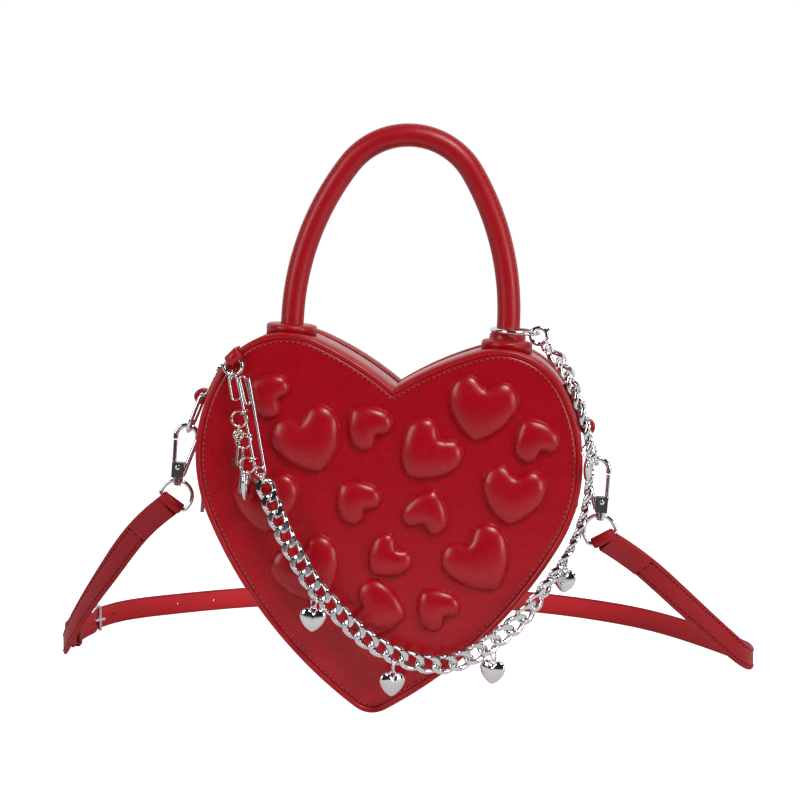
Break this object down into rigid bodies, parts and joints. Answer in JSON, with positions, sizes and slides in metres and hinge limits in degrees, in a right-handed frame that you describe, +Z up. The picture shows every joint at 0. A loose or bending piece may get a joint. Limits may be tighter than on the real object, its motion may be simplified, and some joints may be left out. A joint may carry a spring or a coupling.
{
  "type": "heart shaped purse",
  "caption": "Heart-shaped leather handbag with raised hearts, arched handle, zip around the top, buckled shoulder strap on trigger hooks and a curb chain with charms.",
  "frame": {"origin": "middle of the handle's grip", "axes": "+Z up along the bag's height, +Y out of the bag's back, +X to the right seen from the front"},
  "size_m": [0.4051, 0.3121, 0.3232],
  "materials": {
    "red_leather": "smooth semi-gloss",
    "red_piping": "semi-gloss",
    "lining": "woven",
    "board": "matte",
    "zip_tape": "woven",
    "steel": "polished",
    "core": "matte"
  },
  "bodies": {
    "bag": {"front_panel": "red_leather", "front_board": "board", "front_lining": "lining", "front_piping": "red_piping", "gusset_front": "red_leather", "gusset_lower": "red_leather", "zip_tape_front": "zip_tape", "zip_teeth_front": "steel", "zip_end_tabs": "red_leather", "handle_cover": "red_leather", "handle_core": "core", "handle_base_left": "red_leather", "handle_base_right": "red_leather", "handle_screws": "steel", "handle_washers": "steel", "chain_ring": "steel", "charm_tab": "red_leather", "charm_o_ring": "steel", "left_side_tab": "red_leather", "right_side_tab": "red_leather", "side_rivets": "steel"},
    "back_half": {"back_panel": "red_leather", "back_board": "board", "back_lining": "lining", "back_piping": "red_piping", "gusset_rear": "red_leather", "zip_tape_rear": "zip_tape", "zip_teeth_rear": "steel", "inner_pocket": "lining"},
    "zip_slider": {"slider_body": "steel"},
    "zip_pull": {"zip_key": "steel"},
    "left_d": {"left_d_ring": "steel"},
    "right_d": {"right_d_ring": "steel"},
    "strap": {"strap_left": "red_leather", "strap_right": "red_leather", "left_strap_ring": "steel", "right_strap_ring": "steel", "buckle_frame": "steel", "strap_keeper": "red_leather"},
    "left_hook": {"left_hook_frame": "steel"},
    "right_hook": {"right_hook_frame": "steel"},
    "left_gate": {"left_hook_gate": "steel"},
    "right_gate": {"right_hook_gate": "steel"},
    "prong": {"buckle_prong": "steel"},
    "drape": {"pin_wires": "steel", "pin_clasp": "steel", "chain_join": "steel", "chain_links": "steel", "chain_clasp": "steel"},
    "pin_key": {"pin_charm_key": "steel"},
    "pin_bar": {"pin_charm_bar": "steel"},
    "pin_heart": {"pin_charm_heart": "steel"},
    "heart_1": {"heart_charm_1": "steel"},
    "heart_2": {"heart_charm_2": "steel"},
    "heart_3": {"heart_charm_3": "steel"},
    "heart_4": {"heart_charm_4": "steel"},
    "heart_5": {"heart_charm_5": "steel"}
  },
  "joints": [
    {"name": "mouth", "type": "hinge", "parent": "bag", "child": "back_half", "pos_m": [0, 0.0375, -0.3002], "axis": [-1, 0, 0], "range_deg": [0, 9]},
    {"name": "zip_slide", "type": "hinge", "parent": "bag", "child": "zip_slider", "pos_m": [-0.0182, 0.024, -0.1675], "axis": [0, 1, 0], "range_deg": [0, 38]},
    {"name": "pull_swing", "type": "hinge", "parent": "zip_slider", "child": "zip_pull", "pos_m": [-0.10117, 0.024, -0.1809], "axis": [1, 0, 0], "range_deg": [-35, 35]},
    {"name": "left_d_ring_swing", "type": "hinge", "parent": "bag", "child": "left_d", "pos_m": [-0.10107, 0.002, -0.14342], "axis": [0, 1, 0], "range_deg": [0, 1.5]},
    {"name": "right_d_ring_swing", "type": "hinge", "parent": "bag", "child": "right_d", "pos_m": [0.10107, 0.002, -0.14342], "axis": [0, -1, 0], "range_deg": [0, 1.5]},
    {"name": "strap_lift", "type": "hinge", "parent": "bag", "child": "strap", "pos_m": [0, 0.002, -0.15537], "axis": [1, 0, 0], "range_deg": [0, 35]},
    {"name": "left_swivel", "type": "hinge", "parent": "strap", "child": "left_hook", "pos_m": [-0.11168, 0.002, -0.18213], "axis": [0, 0, 1], "range_deg": [-8, 8]},
    {"name": "left_gate_spring", "type": "hinge", "parent": "left_hook", "child": "left_gate", "pos_m": [-0.11168, 0.002, -0.18213], "axis": [0, 1, 0], "range_deg": [0, 15], "stiffness_Nm_per_rad": 0.02, "springref_deg": -5.73},
    {"name": "right_swivel", "type": "hinge", "parent": "strap", "child": "right_hook", "pos_m": [0.11168, 0.002, -0.18213], "axis": [0, 0, 1], "range_deg": [-8, 8]},
    {"name": "right_gate_spring", "type": "hinge", "parent": "right_hook", "child": "right_gate", "pos_m": [0.11168, 0.002, -0.18213], "axis": [0, -1, 0], "range_deg": [0, 15], "stiffness_Nm_per_rad": 0.02, "springref_deg": -5.73},
    {"name": "prong_lift", "type": "hinge", "parent": "strap", "child": "prong", "pos_m": [-0.19154, 0.16874, -0.30744], "axis": [0.0714, -0.0008, -0.9974], "range_deg": [0, 3]},
    {"name": "drape_swing", "type": "hinge", "parent": "bag", "child": "drape", "pos_m": [-0.08266, -0.0209, -0.129], "axis": [-0.973, -0.1086, -0.2039], "range_deg": [0, 25]},
    {"name": "pin_key_swing", "type": "hinge", "parent": "drape", "child": "pin_key", "pos_m": [-0.07453, -0.0266, -0.147], "axis": [-0.2547, 0, 0.967], "range_deg": [0, 30]},
    {"name": "pin_bar_swing", "type": "hinge", "parent": "drape", "child": "pin_bar", "pos_m": [-0.07137, -0.0266, -0.159], "axis": [-0.2547, 0, 0.967], "range_deg": [0, 12]},
    {"name": "pin_heart_swing", "type": "hinge", "parent": "drape", "child": "pin_heart", "pos_m": [-0.06821, -0.0266, -0.171], "axis": [-0.2547, 0, 0.967], "range_deg": [0, 15]},
    {"name": "heart_1_swing", "type": "hinge", "parent": "drape", "child": "heart_1", "pos_m": [-0.03186, -0.029, -0.23968], "axis": [-0.6977, -0.0008, 0.7164], "range_deg": [0, 30]},
    {"name": "heart_2_swing", "type": "hinge", "parent": "drape", "child": "heart_2", "pos_m": [0.01125, -0.029, -0.26961], "axis": [-0.9498, 0.0002, 0.313], "range_deg": [0, 30]},
    {"name": "heart_3_swing", "type": "hinge", "parent": "drape", "child": "heart_3", "pos_m": [0.0621, -0.02849, -0.25876], "axis": [-0.7653, -0.0325, -0.6429], "range_deg": [0, 30]},
    {"name": "heart_4_swing", "type": "hinge", "parent": "drape", "child": "heart_4", "pos_m": [0.09499, -0.01469, -0.21099], "axis": [-0.4321, -0.2861, -0.8552], "range_deg": [0, 15]},
    {"name": "heart_5_swing", "type": "hinge", "parent": "drape", "child": "heart_5", "pos_m": [0.10257, -0.01639, -0.15215], "axis": [0.175, -0.0022, -0.9846], "range_deg": [0, 20]}
  ]
}
